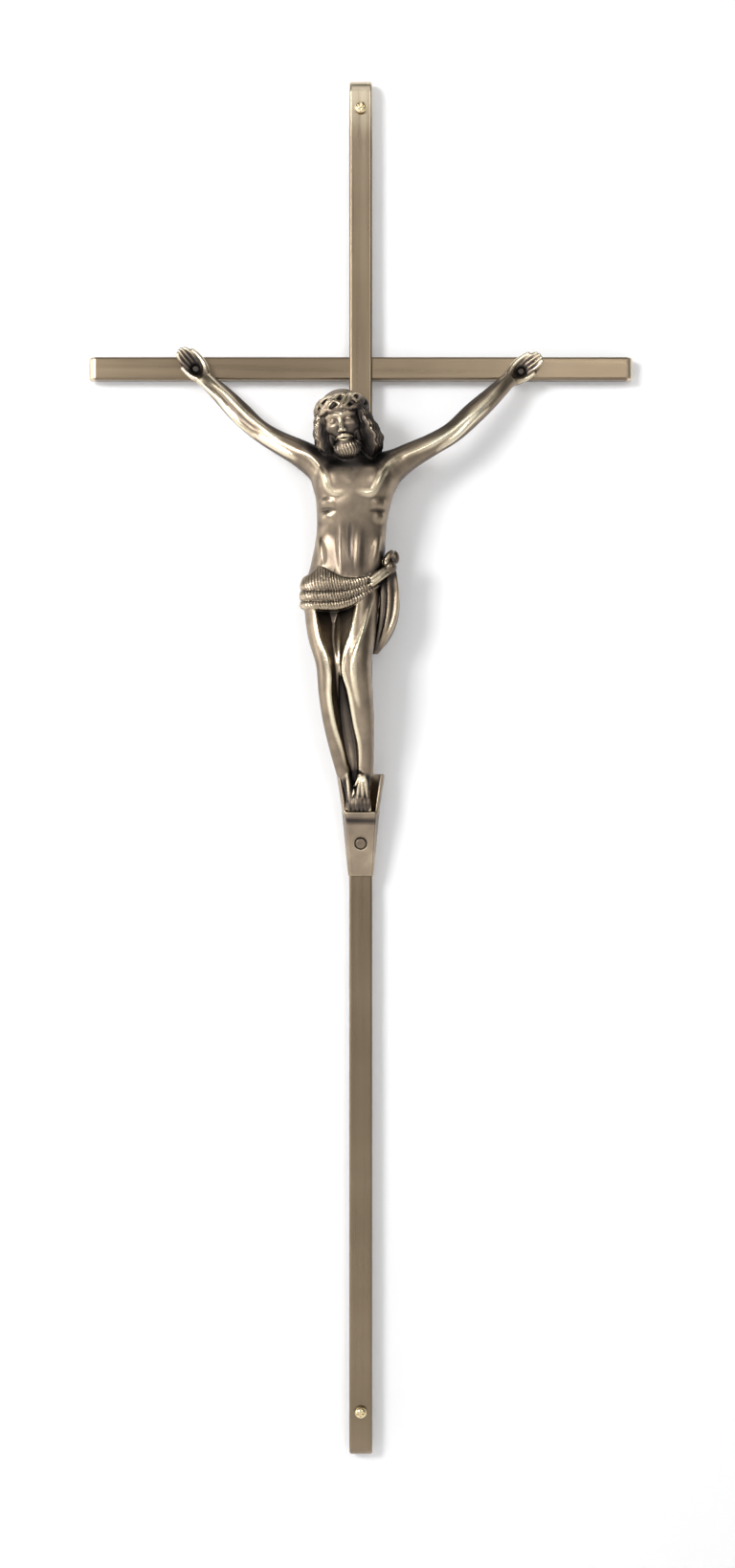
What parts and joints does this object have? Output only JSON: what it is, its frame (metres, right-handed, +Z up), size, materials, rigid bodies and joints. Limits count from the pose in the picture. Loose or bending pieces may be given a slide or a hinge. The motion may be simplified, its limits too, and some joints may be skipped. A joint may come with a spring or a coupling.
{
  "type": "wall crucifix",
  "caption": "Wall crucifix: slim upright and crossbar of pressed brass channel, cast figure with crown and loincloth, tapered foot bracket and loose fixing screws.",
  "frame": {"origin": "where the two bars cross, in the plane of their open backs, which lie on the wall or lid", "axes": "+Z up the upright, +Y out of the back into the wall, +X to the right as seen from the front"},
  "size_m": [0.2186, 0.0467, 0.5524],
  "materials": {
    "bars": "antique brass, satin lacquer",
    "casting": "antique bronze with rubbed highlights and dark recesses",
    "bracket": "antique brass, satin lacquer",
    "fasteners": "bright brass"
  },
  "bodies": {
    "cross": {"upright": "bars", "crossbar": "bars", "crossing_stud": "fasteners", "crossing_nut": "fasteners", "foot_nut": "fasteners", "left_hand_rivet": "casting", "right_hand_rivet": "casting", "foot_bracket": "bracket", "foot_screw": "fasteners", "corpus": "casting"},
    "top_screw": {"top_fixing_screw": "fasteners"},
    "bottom_screw": {"bottom_fixing_screw": "fasteners"}
  },
  "joints": [
    {"name": "top_screw_draw", "type": "slide", "parent": "cross", "child": "top_screw", "axis": [0, -1, 0], "range_m": [-0.0007, 0.0135]},
    {"name": "bottom_screw_draw", "type": "slide", "parent": "cross", "child": "bottom_screw", "axis": [0, -1, 0], "range_m": [-0.0007, 0.0135]}
  ]
}
